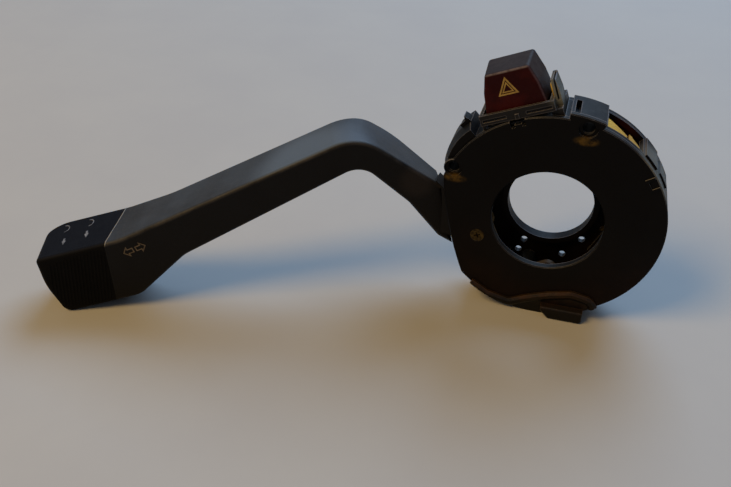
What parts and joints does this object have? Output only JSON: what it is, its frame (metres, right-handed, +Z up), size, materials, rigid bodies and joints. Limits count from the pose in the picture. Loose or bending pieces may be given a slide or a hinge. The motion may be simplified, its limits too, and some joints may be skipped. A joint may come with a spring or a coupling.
{
  "type": "combination stalk switch",
  "caption": "Ring-shaped steering column switch with a cranked turn-signal stalk and a red hazard push knob on top.",
  "frame": {"origin": "on the column axis, in the plane of the housing's rear face", "axes": "+Y along the column away from the driver, +Z up as the switch stands on its rim and on the tip of its stalk, +X to the driver's right, so the stalk leaves towards -X"},
  "size_m": [0.2443, 0.0896, 0.1058],
  "materials": {
    "black_plastic": "satin, fine grained",
    "red_plastic": "translucent, worn gloss",
    "cream_plastic": "natural acetal",
    "brown_plastic": "natural phenolic brown",
    "brass": "stamped strip, slightly dulled",
    "spring_steel": "drawn wire",
    "lamp_glass": "clear"
  },
  "bodies": {
    "housing": {"rear_plate": "black_plastic", "rear_housing": "black_plastic", "front_cover": "black_plastic", "lower_apron": "black_plastic", "side_panel": "black_plastic", "retaining_clip": "black_plastic", "hazard_socket": "black_plastic", "hazard_latch_pin": "spring_steel", "hazard_fixed_contacts": "brass", "indicator_lamp": "lamp_glass", "lamp_contact_strip": "brass", "carrier_pivot_screw": "brass", "detent_track": "black_plastic", "turn_fixed_contacts": "brass", "contact_block": "black_plastic", "contact_strips": "brass", "plug_housing": "black_plastic", "terminal_blades": "brass", "pawl_pin": "spring_steel", "pawl_spring": "spring_steel", "hazard_return_spring": "spring_steel"},
    "carrier": {"turn_carrier": "cream_plastic", "turn_contact_bridge": "brass", "flash_pin": "spring_steel", "flash_return_spring": "spring_steel", "detent_spring": "spring_steel"},
    "detent": {"detent_plunger": "cream_plastic"},
    "lever": {"lever_stalk": "black_plastic", "lever_end_cap": "black_plastic"},
    "hazard": {"hazard_knob": "red_plastic", "hazard_plunger": "cream_plastic", "hazard_contact_bridge": "brass"},
    "pawl": {"cancel_pawl": "brown_plastic"}
  },
  "joints": [
    {"name": "turn_swing", "type": "hinge", "parent": "housing", "child": "carrier", "pos_m": [-0.0263, -0.011, -0.0112], "axis": [0, 1, 0], "range_deg": [-11, 11]},
    {"name": "flash_pull", "type": "hinge", "parent": "carrier", "child": "lever", "pos_m": [-0.03268, -0.0112, -0.00949], "axis": [0.2588, 0, 0.9659], "range_deg": [0, 5], "stiffness_Nm_per_rad": 3, "springref_deg": -3.44},
    {"name": "detent_slide", "type": "slide", "parent": "carrier", "child": "detent", "axis": [-0.4067, 0, 0.9135], "range_m": [0, 0.001], "stiffness_N_per_m": 300, "deforming": ["detent_spring"]},
    {"name": "hazard_push", "type": "slide", "parent": "housing", "child": "hazard", "axis": [0.3584, 0, -0.9336], "range_m": [0, 0.005], "stiffness_N_per_m": 600, "springref_m": -0.002, "deforming": ["hazard_return_spring"]},
    {"name": "pawl_swing", "type": "hinge", "parent": "housing", "child": "pawl", "pos_m": [-0.0055, -0.013, -0.029], "axis": [0, 1, 0], "range_deg": [-9, 9], "stiffness_Nm_per_rad": 0.05, "deforming": ["pawl_spring"]}
  ]
}
